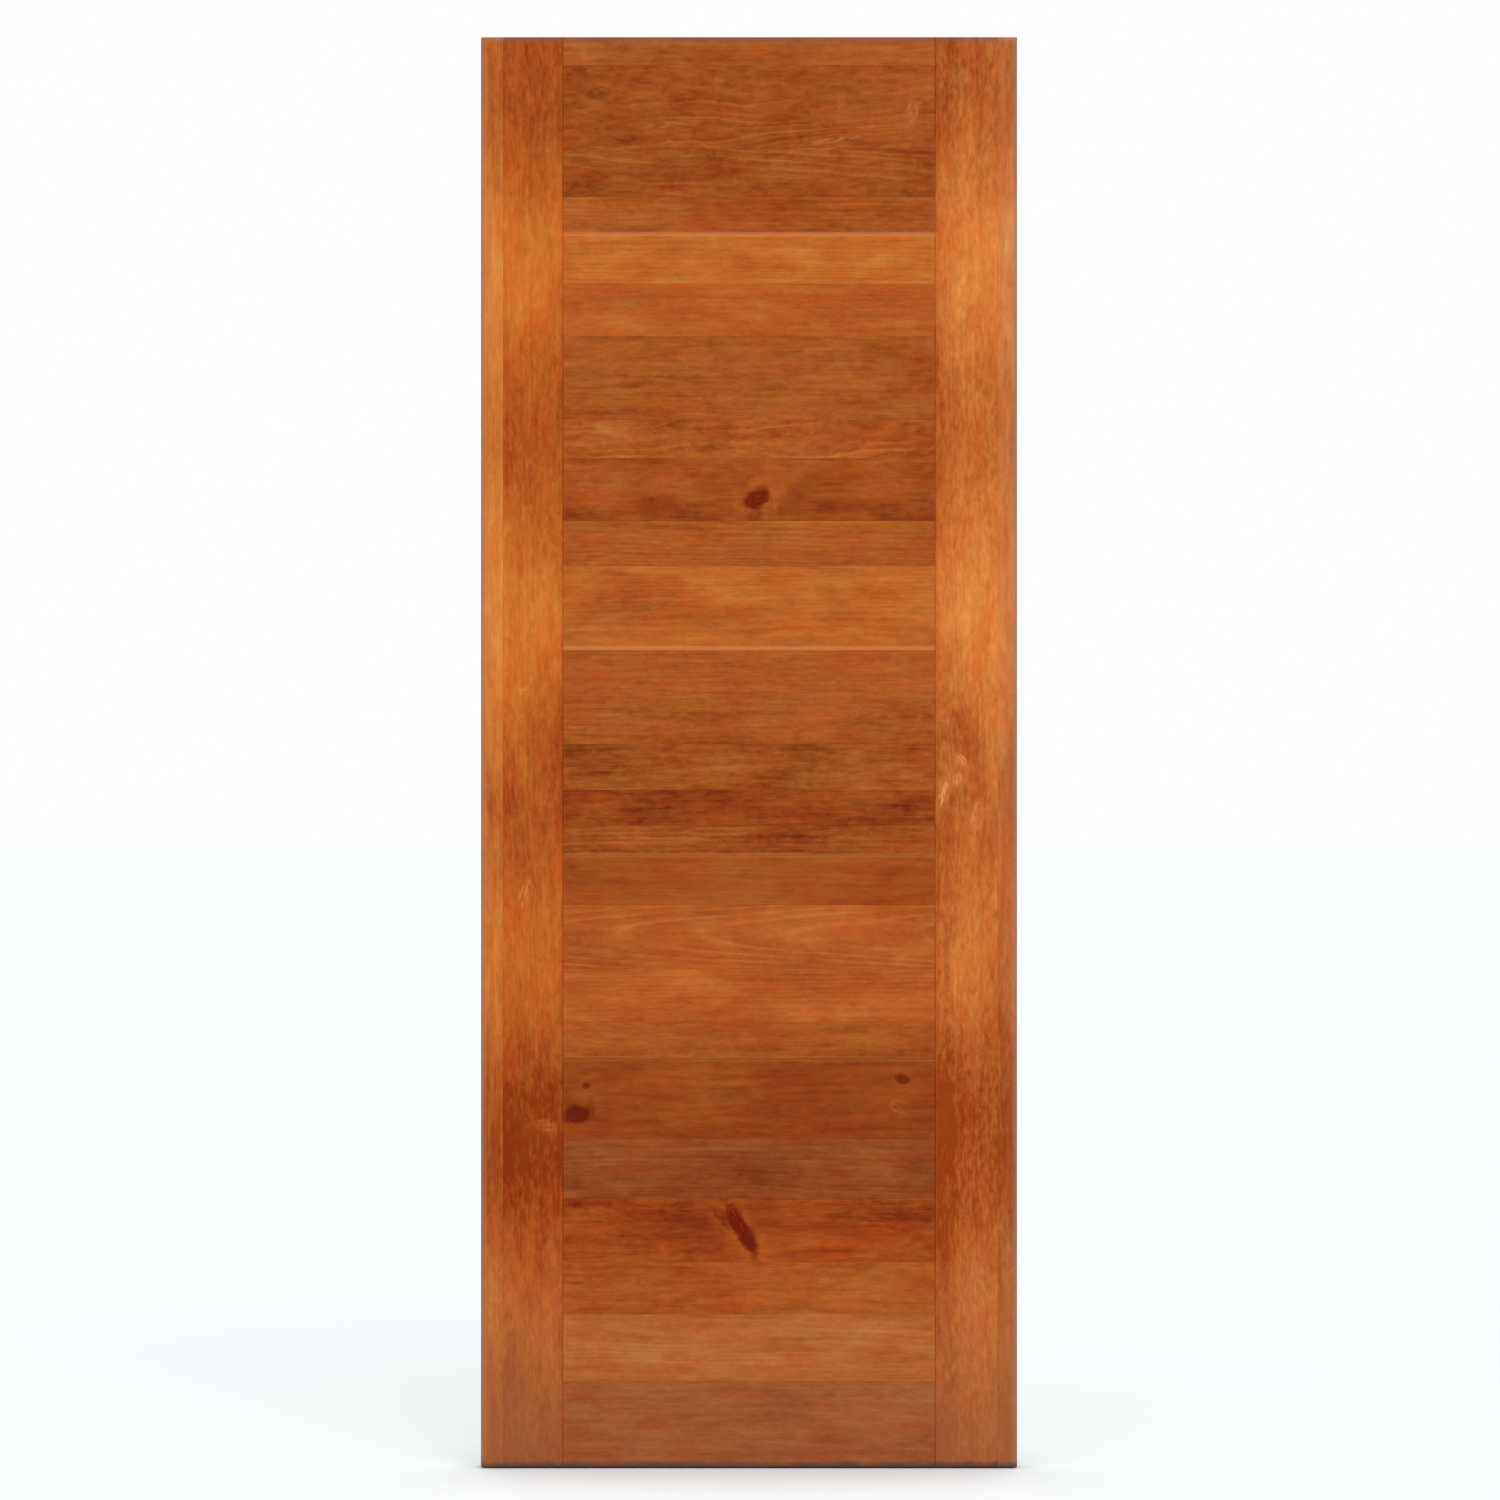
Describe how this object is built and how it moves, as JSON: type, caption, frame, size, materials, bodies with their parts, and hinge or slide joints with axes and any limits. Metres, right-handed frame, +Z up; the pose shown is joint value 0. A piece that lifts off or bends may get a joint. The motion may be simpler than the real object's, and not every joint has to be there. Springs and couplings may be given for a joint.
{
  "type": "pine exterior door leaf",
  "caption": "Flush stained pine exterior door leaf: vertical stiles and edge strips, horizontal tongued boards between them, V grooves where the panels meet.",
  "frame": {"origin": "centre of the left (hinge side) edge face, half way up the leaf", "axes": "+X across the leaf from the hinge edge, -Y out of the pictured face, +Z up"},
  "size_m": [0.9144, 0.0444, 2.4384],
  "materials": {
    "stile_pine": "satin orange-brown stain, straight vertical grain with blotches",
    "edge_strip_pine": "satin orange-brown stain, fine straight vertical grain",
    "light_panel_pine": "satin orange-brown stain, horizontal grain",
    "dark_panel_pine": "satin red-brown stain, horizontal grain",
    "bottom_panel_pine": "satin brown stain, horizontal grain with knots"
  },
  "bodies": {
    "root": {"bottom_panel_stave_1": "bottom_panel_pine", "bottom_panel_stave_2": "bottom_panel_pine", "bottom_panel_stave_3": "bottom_panel_pine", "bottom_panel_stave_4": "bottom_panel_pine", "bottom_panel_stave_5": "bottom_panel_pine", "bottom_panel_stave_6": "bottom_panel_pine", "left_edge_strip": "edge_strip_pine", "left_stile": "stile_pine", "lower_panel_stave_1": "light_panel_pine", "lower_panel_stave_2": "light_panel_pine", "lower_panel_stave_3": "light_panel_pine", "lower_panel_stave_4": "light_panel_pine", "middle_panel_stave_1": "dark_panel_pine", "middle_panel_stave_2": "dark_panel_pine", "middle_panel_stave_3": "dark_panel_pine", "middle_panel_stave_4": "dark_panel_pine", "middle_panel_stave_5": "dark_panel_pine", "right_edge_strip": "edge_strip_pine", "right_stile": "stile_pine", "top_panel_stave_1": "dark_panel_pine", "top_panel_stave_2": "dark_panel_pine", "top_panel_stave_3": "dark_panel_pine", "top_panel_stave_4": "dark_panel_pine", "upper_panel_stave_1": "light_panel_pine", "upper_panel_stave_2": "light_panel_pine", "upper_panel_stave_3": "light_panel_pine", "upper_panel_stave_4": "light_panel_pine", "upper_panel_stave_5": "light_panel_pine", "upper_panel_stave_6": "light_panel_pine", "upper_panel_stave_7": "light_panel_pine"}
  },
  "joints": []
}
